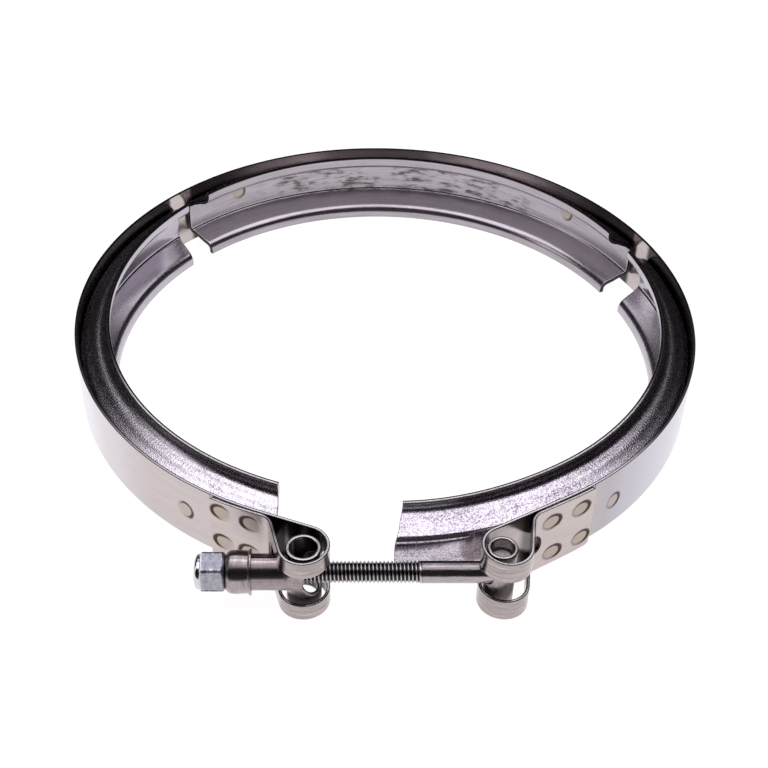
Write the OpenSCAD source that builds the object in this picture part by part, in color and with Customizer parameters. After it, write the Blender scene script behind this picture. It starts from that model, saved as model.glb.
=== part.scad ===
// T-bolt V-band clamp: a sheet strap with three V channel segments, closed by a
// stud, a sleeve trunnion and a lock nut.
// Frame: origin at the ring's centre, +Z along the ring axis, bolt parallel to X at -Y.

/* [Band] */
// Outer radius of the strap
band_r = 94; // [93.5:0.1:94.5]
// Thickness of the strap sheet
band_t = 0.9; // [0.8:0.05:1]
// Width of the strap
band_w = 20.7; // [20:0.1:21.5]
// Angle where the left end of the strap flexes
split_left = 137.9; // [137.5:0.1:138.3]
// Angle where the right end of the strap flexes
split_right = 23.3; // [22.8:0.1:23.8]
// Gap left in the strap at each flexing place
split_gap = 0.3; // [0.2:0.05:0.4]

/* [Loops] */
// Outer radius of each loop
loop_r = 6.75; // [6.6:0.05:6.9]
// Centre of the left loop along X
loop_left_x = -22.9; // [-24:0.1:-22]
// Centre of the right loop along X
loop_right_x = 28.8; // [28:0.1:29.6]
// Distance of the bolt line from the ring's centre
bolt_y = 98.4; // [98.2:0.1:98.8]
// Direction in which the outer strand leaves the loop
strand_a = 143.3; // [142:0.1:145]
// Radius of the tab fold at mid sheet
fold_r = 5; // [4.6:0.1:5.2]
// Angle where the left tab ends
tab_left_end = 239.6; // [237:0.5:240]
// Angle where the right tab ends
tab_right_end = 304.9; // [303.5:0.1:306]
// Half height of the slot in the left loop
slot_left = 5.4; // [5.2:0.1:6]
// Half height of the slot in the right loop
slot_right = 3.8; // [3.4:0.1:4.4]

/* [Channel segments] */
// Sheet thickness of the V channel
seg_t = 1.5; // [1.2:0.1:1.6]
// Inner radius of the lips, which grip the flanges
lip_r = 83.5; // [83:0.1:84]
// Height of each lip edge above mid plane
lip_z = 12.2; // [12:0.1:12.6]
// Height of the lip bend above mid plane, on the inner face
bend_z = 8.7; // [8.5:0.1:9]
// Half height of the groove floor
floor_z = 4.9; // [4.6:0.1:5.1]
// Inside radius of the sheet bends
bend_r = 0.6; // [0.4:0.1:0.8]
// Angle that each segment covers at its floor
seg_span = 111; // [110:0.5:111.5]
// How far the lips are set back at a segment's ends
seg_mitre = 2.6; // [2:0.1:3]
// Middle of the rear segment
seg_rear_mid = 81; // [80.8:0.1:81.2]
// Middle of the left segment
seg_left_mid = 194.9; // [194.7:0.1:195.3]
// Middle of the right segment
seg_right_mid = 325.6; // [325.3:0.1:325.9]

/* [Trunnion] */
// Radius of the trunnion's cross barrel
tr_barrel_r = 4.55; // [4.3:0.05:4.65]
// Bore radius of the cross barrel
tr_bore_r = 3.5; // [3.3:0.05:3.6]
// Half length of both cross barrels
barrel_h = 9.4; // [9:0.1:9.8]
// Radius of the trunnion's stem
stem_r = 4.7; // [4.6:0.05:4.75]
// Bore radius of the stem
stem_bore_r = 3.5; // [3.4:0.05:3.8]
// Length of the stem from the barrel's centre
stem_l = 18.5; // [18:0.1:18.6]
// Radius of the saddle cut where the bolt leaves the trunnion
exit_r = 5.1; // [4.9:0.1:5.2]
// Centre of the saddle cut from the barrel's centre
exit_x = 4.9; // [4.7:0.1:5]

/* [T-bolt] */
// Centre of the bolt's cross barrel along X
tb_x = 27.5; // [27.3:0.1:28.5]
// Radius over the thread
thread_r = 2.93; // [2.9:0.01:2.94]
// Radius of the plain shank
shank_r = 2.88; // [2.8:0.02:2.94]
// Where the plain shank starts along X
shank_x = 7.4; // [6:0.1:9]
// Radius of the bolt's cross barrel
tb_barrel_r = 3.95; // [3.8:0.05:4.1]
// Bore radius of the bolt's cross barrel
tb_bore_r = 3; // [2.95:0.05:3.1]
// Half length of the bolt's head inside its barrel
tb_head_h = 5.9; // [5.5:0.1:6.3]

/* [Nut and washer] */
// Outer radius of the cup washer
cup_r = 5.65; // [5.5:0.05:5.7]
// Radius of the cup washer's turned-out rim
cup_rim_r = 6; // [5.9:0.05:6.1]
// Length of the cup washer
cup_l = 6.7; // [6.4:0.1:7]
// Thickness of the cup washer's end
cup_end = 1.4; // [1.2:0.1:1.6]
// Width of the nut across flats
nut_af = 10; // [9.8:0.1:10]
// How far the nut is turned on the bolt
nut_turn = 41; // [0:1:60]
// Length of the nut's hexagon
nut_l = 6.2; // [6:0.1:6.6]
// Length of the nut's round collar
collar_l = 1.5; // [1.4:0.1:1.7]
// Bore radius of the nut
nut_bore_r = 3; // [2.98:0.01:3.02]

/* [Hidden] */
$fn = 96;
band_mid = band_r - band_t / 2;
loop_mid = loop_r - band_t / 2;
tab_mid = band_r + band_t / 2 - 0.02;
seg_out = band_r - band_t - 0.01;
cup_x = loop_left_x - stem_l - cup_end - 0.1;
nut_x = cup_x - 0.1;
end_x = nut_x - nut_l - collar_l;

function unit(v) = v / norm(v);
function polar(r, a) = [r * cos(a), r * sin(a)];

// Strap ends. side = 1 for the left end, -1 for the right one. In the end's own
// frame u runs along the strap as it leaves the ring and n points outwards.
function loop_at(side) = [side > 0 ? loop_left_x : loop_right_x, -bolt_y];
function leave_u(c) = sqrt(c * c - pow(band_mid + loop_mid, 2));
// angle on the ring where the strap leaves it
function leave_a(side) = let (c = loop_at(side))
    (atan2(c[1], c[0]) + 360) - side * atan2(leave_u(c), band_mid + loop_mid);

// points on an arc about c, both ends included
function arc(c, r, a0, a1, n) = [for (i = [0:n]) c + polar(r, a0 + (a1 - a0) * i / n)];
function back(v) = [for (i = [len(v) - 1:-1:0]) v[i]];

// One end of the strap: ring arc, straight strand, loop, outer strand, fold and tab
module strap_end(side, a_from, a_end, slot_h, on_tab) {
    la = leave_a(side);
    uc = leave_u(loop_at(side));
    loop_c = [uc, band_mid + loop_mid];
    // the outer strand runs straight until the fold can meet the tab
    reach = (loop_mid + fold_r) * [cos(strand_a), sin(strand_a)];
    strand_l = (tab_mid + fold_r - loop_c[1] - reach[1]) / cos(strand_a);
    fold_c = loop_c + reach + strand_l * [-sin(strand_a), cos(strand_a)];
    h = band_t / 2;
    // the sheet's two faces, o to the outside of the loop
    run = [for (o = [h, -h]) concat(
        arc([0, 0], band_mid - o, 90 + abs(la - a_from), 90, 72),
        arc(loop_c, loop_mid + o, -90, strand_a, 40),
        arc(fold_c, fold_r - o, strand_a - 180, -64, 6))];
    tab = [for (o = [h, -h]) concat(
        arc(fold_c, fold_r - o, -64, -90, 5),
        arc([0, 0], tab_mid + o, 90, 90 + abs(la - a_end), 10))];
    rotate([0, 0, la - 90]) mirror([side > 0 ? 1 : 0, 0, 0]) difference() {
        translate([0, 0, -band_w / 2]) linear_extrude(band_w) union() {
            polygon(concat(run[0], back(run[1])));
            polygon(concat(tab[0], back(tab[1])));
        }
        // slot for the bolt, round the loop and out through its back
        u0 = fold_c[0] + 3;
        translate([u0, band_r + (on_tab ? 0.01 : 0.8), -slot_h])
            cube([uc - u0, 2 * loop_r, 2 * slot_h]);
        translate([uc - 0.01, band_mid + 0.6, -slot_h])
            cube([loop_r + 1, 2 * loop_r, 2 * slot_h]);
        // rounded end of the slot where it runs onto the tab
        if (on_tab) translate([u0, band_r + 0.01, 0])
            rotate([-90, 0, 0]) cylinder(r = slot_h, h = 3);
    }
}
// sheet bent about the ring's axis
module bend(a0, a1) {
    translate([0, 0, -band_w / 2]) rotate([0, 0, a0]) rotate_extrude(angle = a1 - a0)
        translate([band_mid - band_t / 2, 0]) square([band_t, band_w]);
}

// Channel profile: inner face from the top lip down, then the outer face back
seg_in = seg_out - seg_t;
leg = unit([seg_in - lip_r, floor_z - bend_z]);
leg_n = [-leg[1], leg[0]];
leg_p = [lip_r, bend_z] + leg_n * seg_t;
function leg_z(r) = leg_p[1] + (r - leg_p[0]) * leg[1] / leg[0];
half_profile = [[seg_in, floor_z, bend_r], [lip_r, bend_z, bend_r + seg_t], [lip_r, lip_z, 0.15],
                [lip_r + seg_t, lip_z, 0.15], [lip_r + seg_t, leg_z(lip_r + seg_t), bend_r],
                [seg_out, leg_z(seg_out), bend_r + seg_t]];
profile = concat(half_profile, [for (i = [5:-1:0]) [half_profile[i][0], -half_profile[i][1], half_profile[i][2]]]);
// rounds the corner at point i with the radius held in its third number
function corner(pts, i, n) = let (
    m = len(pts), p = pts[i], a = pts[(i + m - 1) % m], b = pts[(i + 1) % m],
    u = unit([a[0] - p[0], a[1] - p[1]]), v = unit([b[0] - p[0], b[1] - p[1]]),
    half = acos(u * v) / 2, d = p[2] / tan(half),
    c = [p[0], p[1]] + unit(u + v) * p[2] / sin(half),
    s = [p[0], p[1]] + u * d - c, e = [p[0], p[1]] + v * d - c,
    turn = atan2(s[0] * e[1] - s[1] * e[0], s * e), a0 = atan2(s[1], s[0]))
    [for (k = [0:n]) c + polar(p[2], a0 + turn * k / n)];
function rounded(pts, n) = [for (i = [0:len(pts) - 1]) for (q = corner(pts, i, n)) q];

module v_segment(mid) {
    tilt = atan2(seg_mitre, seg_out - lip_r);
    a = seg_span / 2;
    rotate([0, 0, mid]) difference() {
        rotate([0, 0, -a]) rotate_extrude(angle = seg_span, $fn = 180) polygon(rounded(profile, 4));
        for (s = [0, 1]) mirror([0, s, 0]) rotate([0, 0, a])
            translate([seg_out, 0, 0]) rotate([0, 0, tilt])
            translate([-30, 0, -20]) cube([40, 20, 40]);
    }
}

module band_rear() { color("#8f868a") bend(split_right, split_left); }
module band_left() { color("#c9bfbd")
    strap_end(1, split_left + split_gap / band_mid * 57.3, tab_left_end, slot_left, false); }
module band_right() { color("#c9bfbd")
    strap_end(-1, 360 + split_right - split_gap / band_mid * 57.3, tab_right_end, slot_right, true); }
module v_segment_rear() { color("#9a8fa0") v_segment(seg_rear_mid); }
module v_segment_left() { color("#b3a9b8") v_segment(seg_left_mid); }
module v_segment_right() { color("#b3a9b8") v_segment(seg_right_mid); }

module along_x(x) { translate([x, -bolt_y, 0]) rotate([0, 90, 0]) children(); }
module at_barrel(x) { translate([x, -bolt_y, 0]) children(); }

module trunnion() { color("#6d6266") difference() {
    union() {
        at_barrel(loop_left_x) cylinder(r = tr_barrel_r, h = 2 * barrel_h, center = true);
        along_x(loop_left_x - stem_l) cylinder(r = stem_r, h = stem_l + 3.2);
    }
    at_barrel(loop_left_x) cylinder(r = tr_bore_r, h = 2 * barrel_h + 2, center = true);
    along_x(loop_left_x - stem_l - 1) cylinder(r = stem_bore_r, h = stem_l + 8);
    translate([loop_left_x + exit_x, -bolt_y, 0]) rotate([90, 0, 0]) cylinder(r = exit_r, h = 20, center = true);
} }

module t_bolt() { color("#4a4347") {
    along_x(end_x + 0.3) cylinder(r = thread_r, h = shank_x - end_x - 0.3);
    along_x(shank_x - 0.01) cylinder(r = shank_r, h = tb_x + 1.5 - shank_x + 0.01);
    at_barrel(tb_x) cylinder(r = tb_bore_r - 0.02, h = 2 * tb_head_h, center = true);
} }
module t_bolt_barrel() { color("#8a7f80") difference() {
    at_barrel(tb_x) cylinder(r = tb_barrel_r, h = 2 * barrel_h, center = true);
    at_barrel(tb_x) cylinder(r = tb_bore_r, h = 2 * barrel_h + 2, center = true);
    along_x(tb_x - 10) cylinder(r = shank_r + 0.02, h = 11.52);
} }

// turned profiles lie along X, with x counted from the nut side
module turned(x, pts) { along_x(x) rotate_extrude() polygon(pts); }
module cup_washer() { color("#5a5054") turned(cup_x, concat(
    [[thread_r + 0.27, 0]],
    [for (k = [0:8]) [cup_r - 2 + 2 * sin(90 * k / 8), 2 - 2 * cos(90 * k / 8)]],
    [[cup_r, cup_l - 0.9], [cup_rim_r, cup_l - 0.5], [cup_rim_r, cup_l], [stem_r + 0.1, cup_l],
     [stem_r + 0.1, cup_end], [thread_r + 0.27, cup_end]])); }

module lock_nut() { color("#c3c8d4") difference() {
    union() {
        intersection() {
            along_x(nut_x - nut_l) rotate([0, 0, nut_turn]) cylinder(r = nut_af / sqrt(3), h = nut_l, $fn = 6);
            // 30 degree chamfers on the hexagon's corners
            turned(nut_x - nut_l, [[0, 0], [nut_af / 2 * 0.95, 0], [nut_af * 0.62, 0.85],
                [nut_af * 0.62, nut_l - 0.85], [nut_af / 2 * 0.95, nut_l], [0, nut_l]]);
        }
        turned(end_x, [[0, 0], [3.6, 0], [4.15, 0.3], [4.5, 0.9], [4.55, collar_l + 0.2], [0, collar_l + 0.2]]);
    }
    along_x(end_x - 1) cylinder(r = nut_bore_r, h = 12);
    turned(end_x, [[0, 0.35], [3.95, 0.35], [3.95, 1.85], [0, 1.85]]);
} }
module nut_insert() { color("#e8e6df") turned(end_x,
    [[thread_r + 0.04, 0.4], [3.93, 0.4], [3.93, 1.8], [thread_r + 0.04, 1.8]]); }

band_rear();
band_left();
band_right();
v_segment_rear();
v_segment_left();
v_segment_right();
trunnion();
t_bolt();
t_bolt_barrel();
cup_washer();
lock_nut();
nut_insert();
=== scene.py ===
import math

import bpy
import numpy as np
from mathutils import Matrix, Vector


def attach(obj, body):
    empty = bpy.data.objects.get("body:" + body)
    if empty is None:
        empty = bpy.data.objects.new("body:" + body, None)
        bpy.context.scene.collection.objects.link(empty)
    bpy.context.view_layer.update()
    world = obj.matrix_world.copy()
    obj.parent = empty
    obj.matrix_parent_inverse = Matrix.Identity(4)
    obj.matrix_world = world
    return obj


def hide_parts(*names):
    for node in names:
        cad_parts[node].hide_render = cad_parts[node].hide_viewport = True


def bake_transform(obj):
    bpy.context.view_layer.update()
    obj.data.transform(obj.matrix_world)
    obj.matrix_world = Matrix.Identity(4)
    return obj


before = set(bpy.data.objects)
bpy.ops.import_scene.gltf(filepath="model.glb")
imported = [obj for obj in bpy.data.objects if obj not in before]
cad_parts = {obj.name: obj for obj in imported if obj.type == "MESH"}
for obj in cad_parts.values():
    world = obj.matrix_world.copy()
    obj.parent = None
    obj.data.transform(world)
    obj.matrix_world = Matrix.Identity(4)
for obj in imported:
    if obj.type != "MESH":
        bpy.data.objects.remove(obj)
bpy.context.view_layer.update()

MM = 0.001
D2R = math.pi / 180


def rad(a):
    return a * D2R


# ---------------------------------------------------------------- sizes, mm
BAND_R, BAND_T, BAND_W = 94.0, 0.9, 20.7
BAND_MID = BAND_R - BAND_T / 2
LOOP_MID = 6.75 - BAND_T / 2
TAB_MID = BAND_R + BAND_T / 2 - 0.02
FOLD_R = 5.0
STRAND_A = 143.3
BOLT_Y = 98.4
LOOP_X = {1: -22.9, -1: 28.8}
SPLIT = {1: 137.9, -1: 23.3}
TAB_END = {1: 239.6, -1: 304.9}
SLOT = {1: 5.4, -1: 3.8}
SEG_T, SEG_OUT = 1.5, BAND_R - BAND_T - 0.01
LIP_R, LIP_Z, BEND_Z, FLOOR_Z = 83.5, 12.2, 8.7, 4.9
TR_X, TB_X = -22.9, 27.5
STEM_L, STEM_R, STEM_BORE = 18.5, 4.7, 3.5
BARREL_H = 9.4
CUP_X = TR_X - STEM_L - 1.4 - 0.1
CUP_L, CUP_R, CUP_RIM = 6.7, 5.65, 6.0
NUT_X = CUP_X - 0.1
NUT_L, COLLAR_L = 6.2, 1.5
END_X = NUT_X - NUT_L - COLLAR_L
SHANK_X = 7.4


# ---------------------------------------------------------------- mesh helpers
def make(name, verts_mm, faces, crd=None, smooth=35.0):
    """Mesh object from points in mm. crd is a per-point (along, across, extra) in mm that the materials read."""
    me = bpy.data.meshes.new(name)
    me.from_pydata((np.asarray(verts_mm, float) * MM).tolist(), [], [tuple(f) for f in faces])
    me.validate()
    if crd is not None:
        a = me.attributes.new("crd", "FLOAT_VECTOR", "POINT")
        a.data.foreach_set("vector", np.asarray(crd, np.float32).ravel())
    ob = bpy.data.objects.new(name, me)
    bpy.context.scene.collection.objects.link(ob)
    shade(ob, smooth)
    return ob


def shade(ob, angle):
    me = ob.data
    me.polygons.foreach_set("use_smooth", [True] * len(me.polygons))
    me.set_sharp_from_angle(angle=rad(angle))


def bake_modifiers(ob, smooth=35.0):
    """Turns the modified shape into the object's own mesh."""
    dg = bpy.context.evaluated_depsgraph_get()
    dg.update()
    me = bpy.data.meshes.new_from_object(ob.evaluated_get(dg))
    old = ob.data
    ob.modifiers.clear()
    ob.data = me
    me.name = ob.name
    bpy.data.meshes.remove(old)
    shade(ob, smooth)
    return ob


def shell(name, P, N, t, crd, edge=0.16, closed_cols=False, keep_open=(False, False), segs=2):
    """Solid sheet round the mid-surface grid P[row, col] with unit normals N. Rows run across, columns along.
    keep_open is not used."""
    R, C = P.shape[:2]
    top = P + N * t / 2
    bot = P - N * t / 2
    V = np.concatenate([top.reshape(-1, 3), bot.reshape(-1, 3)])
    K = np.concatenate([crd.reshape(-1, 3)] * 2)
    K[R * C:, 2] = -1.0
    i = np.arange(R * C).reshape(R, C)
    o = R * C
    F = []
    a, b, c, d = i[:-1, :-1], i[:-1, 1:], i[1:, 1:], i[1:, :-1]
    q = np.stack([a, b, c, d], -1).reshape(-1, 4)
    F += q.tolist()
    F += (q[:, ::-1] + o).tolist()
    rims = [i[0, :], i[-1, ::-1], i[::-1, 0], i[:, -1]]
    for r in rims:
        F += np.stack([r[1:], r[:-1], r[:-1] + o, r[1:] + o], -1).tolist()
    return V, F, K, i


def merge(parts):
    V, F, K, n = [], [], [], 0
    for v, f, k in parts:
        V.append(v)
        K.append(k)
        F += [[j + n for j in q] for q in f]
        n += len(v)
    return np.concatenate(V), F, np.concatenate(K)


def lathe(profile, n=96, axis_y=-BOLT_Y, axis_z=0.0, along=0.35, closed=True):
    """Turned solid about a line parallel to X. profile is a closed loop of (x, r) in mm."""
    pr = np.asarray(profile, float)
    m = len(pr)
    th = np.arange(n) * 2 * math.pi / n
    X = np.repeat(pr[:, 0][:, None], n, 1)
    Rr = pr[:, 1][:, None]
    Y = axis_y + Rr * np.cos(th)[None]
    Z = axis_z + Rr * np.sin(th)[None]
    V = np.stack([X, Y, Z], -1).reshape(-1, 3)
    s = np.concatenate([[0], np.cumsum(np.hypot(*np.diff(pr, axis=0).T))])
    K = np.stack([np.repeat((th * 4.7)[None], m, 0), np.repeat(s[:, None], n, 1), X * 0 + 1], -1).reshape(-1, 3)
    F = []
    for j in range(m if closed else m - 1):
        j2 = (j + 1) % m
        for k in range(n):
            k2 = (k + 1) % n
            F.append([j * n + k, j2 * n + k, j2 * n + k2, j * n + k2])
    return V, F, K


def rounded_loop(pts, n=5, share=0.49):
    """Closed 2D loop with each corner rounded by its third number."""
    out = []
    m = len(pts)
    for i in range(m):
        p = np.array(pts[i][:2], float)
        a = np.array(pts[i - 1][:2], float) - p
        b = np.array(pts[(i + 1) % m][:2], float) - p
        la, lb = np.linalg.norm(a), np.linalg.norm(b)
        a, b = a / la, b / lb
        r = pts[i][2] if len(pts[i]) > 2 else 0
        ang = math.acos(max(-1, min(1, float(a @ b))))
        if r <= 0 or abs(ang - math.pi) < 1e-3:
            out.append(p)
            continue
        d = r / math.tan(ang / 2)
        lim = share * min(la, lb)
        if d > lim:
            r *= lim / d
            d = lim
        h = (a + b) / np.linalg.norm(a + b)
        c = p + h * r / math.sin(ang / 2)
        s, e = p + a * d - c, p + b * d - c
        t0 = math.atan2(s[1], s[0])
        dt = math.atan2(s[0] * e[1] - s[1] * e[0], s @ e)
        for k in range(n + 1):
            t = t0 + dt * k / n
            out.append(c + r * np.array([math.cos(t), math.sin(t)]))
    return np.array(out)


def nets(f, lo, hi, h):
    """Smooth surface of the field f(x, y, z) = 0 in the box lo..hi, cell size h, as (points, quads)."""
    ax = [np.arange(lo[i] - h, hi[i] + 2 * h, h) for i in range(3)]
    X, Y, Z = np.meshgrid(*ax, indexing="ij")
    S = f(X, Y, Z)
    ins = S < 0
    nx, ny, nz = S.shape
    acc = np.zeros((nx - 1, ny - 1, nz - 1, 3))
    cnt = np.zeros((nx - 1, ny - 1, nz - 1))
    for axis in range(3):
        a = [slice(None)] * 3
        b = [slice(None)] * 3
        a[axis] = slice(0, -1)
        b[axis] = slice(1, None)
        s0, s1 = S[tuple(a)], S[tuple(b)]
        cross = ins[tuple(a)] != ins[tuple(b)]
        t = np.where(cross, s0 / np.where(cross, s0 - s1, 1), 0)
        base = np.stack([X[tuple(a)], Y[tuple(a)], Z[tuple(a)]], -1)
        pt = base.copy()
        pt[..., axis] += t * h
        o1, o2 = [k for k in range(3) if k != axis]
        for d1 in (0, 1):
            for d2 in (0, 1):
                src = [slice(None)] * 3
                src[o1] = slice(d1, d1 + S.shape[o1] - 1)
                src[o2] = slice(d2, d2 + S.shape[o2] - 1)
                c = cross[tuple(src)]
                acc += np.where(c[..., None], pt[tuple(src)], 0)
                cnt += c
    active = cnt > 0
    idx = -np.ones(active.shape, int)
    idx[active] = np.arange(active.sum())
    V = acc[active] / cnt[active][:, None]
    F = []
    for axis in range(3):
        o1, o2 = [(1, 2), (2, 0), (0, 1)][axis]
        a = [slice(1, -1)] * 3
        b = [slice(1, -1)] * 3
        a[axis] = slice(0, -1)
        b[axis] = slice(1, None)
        fa, fb = ins[tuple(a)], ins[tuple(b)]
        pos = np.argwhere(fa != fb)
        if not len(pos):
            continue
        flip = fa[tuple(pos.T)]
        g = pos.copy()
        g[:, o1] += 1
        g[:, o2] += 1
        q = []
        for d1, d2 in ((0, 0), (1, 0), (1, 1), (0, 1)):
            c = g.copy()
            c[:, o1] -= 1 - d1
            c[:, o2] -= 1 - d2
            q.append(idx[tuple(c.T)])
        q = np.stack(q, 1)
        q = np.where(flip[:, None], q, q[:, ::-1])
        F.append(q[(q >= 0).all(1)])
    F = np.concatenate(F)
    e = h * 0.05
    for _ in range(3):
        v0 = f(*V.T)
        G = np.stack([f(V[:, 0] + e * (k == 0), V[:, 1] + e * (k == 1), V[:, 2] + e * (k == 2)) - v0 for k in range(3)], 1) / e
        g2 = np.maximum((G * G).sum(1), 0.25)
        V = V - np.clip(v0 / g2, -h * 0.5, h * 0.5)[:, None] * G
    return V, F.tolist()


def smin(a, b, k):
    h = np.clip(0.5 + 0.5 * (b - a) / k, 0, 1)
    return b + (a - b) * h - k * h * (1 - h)


def smax(a, b, k):
    return -smin(-a, -b, k)


def cyl(r, half, rho, h, rnd):
    """Rounded cylinder from the distance r to its axis and the position h along it."""
    dx, dy = r - half[0] + rnd, np.abs(h) - half[1] + rnd
    return np.minimum(np.maximum(dx, dy), 0) + np.hypot(np.maximum(dx, 0), np.maximum(dy, 0)) - rnd


# ---------------------------------------------------------------- materials
def mat_new(name):
    m = bpy.data.materials.new(name)
    m.use_nodes = True
    nt = m.node_tree
    nt.nodes.clear()
    out = nt.nodes.new("ShaderNodeOutputMaterial")
    bs = nt.nodes.new("ShaderNodeBsdfPrincipled")
    nt.links.new(bs.outputs[0], out.inputs[0])
    return m, nt, bs


class Nodes:
    def __init__(self, nt):
        self.nt = nt

    def put(self, sock, v):
        if hasattr(v, "links"):
            self.nt.links.new(v, sock)
        else:
            sock.default_value = v

    def coord(self):
        n = self.nt.nodes.new("ShaderNodeAttribute")
        n.attribute_name = "crd"
        return n.outputs["Vector"]

    def scale(self, vec, s, loc=(0, 0, 0)):
        n = self.nt.nodes.new("ShaderNodeMapping")
        n.inputs["Scale"].default_value = s
        n.inputs["Location"].default_value = loc
        self.nt.links.new(vec, n.inputs["Vector"])
        return n.outputs[0]

    def noise(self, vec, scale=1.0, detail=4.0, rough=0.6, dist=0.0):
        n = self.nt.nodes.new("ShaderNodeTexNoise")
        n.inputs["Scale"].default_value = scale
        n.inputs["Detail"].default_value = detail
        n.inputs["Roughness"].default_value = rough
        n.inputs["Distortion"].default_value = dist
        self.nt.links.new(vec, n.inputs["Vector"])
        return n.outputs[0]

    def cells(self, vec):
        """A random value for each small crystal."""
        n = self.nt.nodes.new("ShaderNodeTexVoronoi")
        n.inputs["Scale"].default_value = 1.0
        self.nt.links.new(vec, n.inputs["Vector"])
        x = self.nt.nodes.new("ShaderNodeSeparateColor")
        self.nt.links.new(n.outputs["Color"], x.inputs[0])
        return x.outputs[0]

    def math(self, op, a, b=0.0, clamp=False):
        n = self.nt.nodes.new("ShaderNodeMath")
        n.operation = op
        n.use_clamp = clamp
        self.put(n.inputs[0], a)
        self.put(n.inputs[1], b)
        return n.outputs[0]

    def ramp(self, fac, lo, hi, a=0.0, b=1.0):
        n = self.nt.nodes.new("ShaderNodeMapRange")
        n.interpolation_type = "SMOOTHSTEP"
        n.inputs["From Min"].default_value = lo
        n.inputs["From Max"].default_value = hi
        n.inputs["To Min"].default_value = a
        n.inputs["To Max"].default_value = b
        self.nt.links.new(fac, n.inputs["Value"])
        return n.outputs["Result"]

    def mix(self, fac, a, b):
        n = self.nt.nodes.new("ShaderNodeMix")
        n.data_type = "RGBA"
        self.put(n.inputs["Factor"], fac)
        for s, v in ((n.inputs[6], a), (n.inputs[7], b)):
            if isinstance(v, tuple):
                s.default_value = (*v, 1.0)
            else:
                self.nt.links.new(v, s)
        return n.outputs[2]

    def sep(self, vec):
        n = self.nt.nodes.new("ShaderNodeSeparateXYZ")
        self.nt.links.new(vec, n.inputs[0])
        return n.outputs

    def bump(self, height, strength, dist=0.0001, normal=None):
        n = self.nt.nodes.new("ShaderNodeBump")
        n.inputs["Strength"].default_value = strength
        n.inputs["Distance"].default_value = dist
        self.nt.links.new(height, n.inputs["Height"])
        if normal is not None:
            self.nt.links.new(normal, n.inputs["Normal"])
        return n.outputs[0]


def weld_marks(N, c, s, welds, least=0.12):
    """Heat rings of spot welds given as (along, across, half length, half width, face, heavy side). Returns ring and inside masks."""
    ring = inside = None
    wob = N.math("SUBTRACT", N.noise(N.scale(c, (0.45, 0.45, 0.0)), 1.0, 2.0), 0.5)
    for wa, wb, ra, rb, face, heavy in welds:
        dx = N.math("DIVIDE", N.math("SUBTRACT", s[0], wa), ra)
        dy = N.math("DIVIDE", N.math("SUBTRACT", s[1], wb), rb)
        d = N.math("SQRT", N.math("ADD", N.math("MULTIPLY", dx, dx), N.math("MULTIPLY", dy, dy)))
        d = N.math("ADD", d, N.math("MULTIPLY", wob, 0.22))
        lean = N.math("ADD", N.math("MULTIPLY", dx, heavy), N.math("MULTIPLY", dy, 0.55))
        side = N.ramp(lean, -1.25, 0.75, least, 1.0)
        inner = N.math("SUBTRACT", 0.93, N.math("MULTIPLY", side, 0.2))
        up = N.math("DIVIDE", N.math("SUBTRACT", d, inner), 0.13, clamp=True)
        dn = N.ramp(d, 1.0, 1.34, 1.0, 0.0)
        line = N.math("MULTIPLY", N.math("MULTIPLY", N.math("MULTIPLY", up, dn), side), 1.3, clamp=True)
        fill = N.ramp(d, 0.8, 1.0, 1.0, 0.0)
        face_ok = N.math("GREATER_THAN" if face > 0 else "LESS_THAN", s[2], 0.0)
        line = N.math("MULTIPLY", line, face_ok)
        fill = N.math("MULTIPLY", fill, face_ok)
        ring = line if ring is None else N.math("MAXIMUM", ring, line)
        inside = fill if inside is None else N.math("MAXIMUM", inside, fill)
    return ring, inside


def piecewise(N, x, pts):
    """Smooth steps through the points (x, value)."""
    k = None
    for (s0, k0), (s1, k1) in zip(pts[:-1], pts[1:]):
        if k is None:
            k = N.ramp(x, s0, s1, k0, k1)
        else:
            k = N.math("ADD", k, N.ramp(x, s0, s1, 0.0, k1 - k0))
    return k


def rim_painted_light(N, c, s, col, half, pts):
    """Sheared edges: a painted highlight down the rim's middle, lit only where pts says so and broken up by painted
    glints, between dark lines that are partly burr and partly painted shade of the gap beside the rim.
    """
    z = N.math("ABSOLUTE", s[2])
    flat = N.ramp(z, 0.93, 0.99, 1.0, 0.0)
    n = N.noise(N.scale(c, (1.5, 0.4, 0.0), (9.0, 2.0, 0)), 1.0, 2.0, 0.6)
    lit = N.math("MULTIPLY", piecewise(N, s[0], pts), N.ramp(n, 0.30, 0.46, 0.72, 1.0), clamp=True)
    painted_glint = N.math("MULTIPLY", N.ramp(n, 0.60, 0.66), 0.55)
    col = N.mix(flat, col, N.mix(N.math("MAXIMUM", lit, N.math("MULTIPLY", painted_glint, N.ramp(lit, 0.0, 0.3))), (0.06, 0.052, 0.06), (0.84, 0.81, 0.85)))
    edge = N.math("MULTIPLY", N.ramp(z, half, half + 0.12), N.ramp(z, 0.985, 0.999, 1.0, 0.0))
    return N.mix(N.math("MULTIPLY", edge, 0.97), col, (0.02, 0.017, 0.02))


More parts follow.
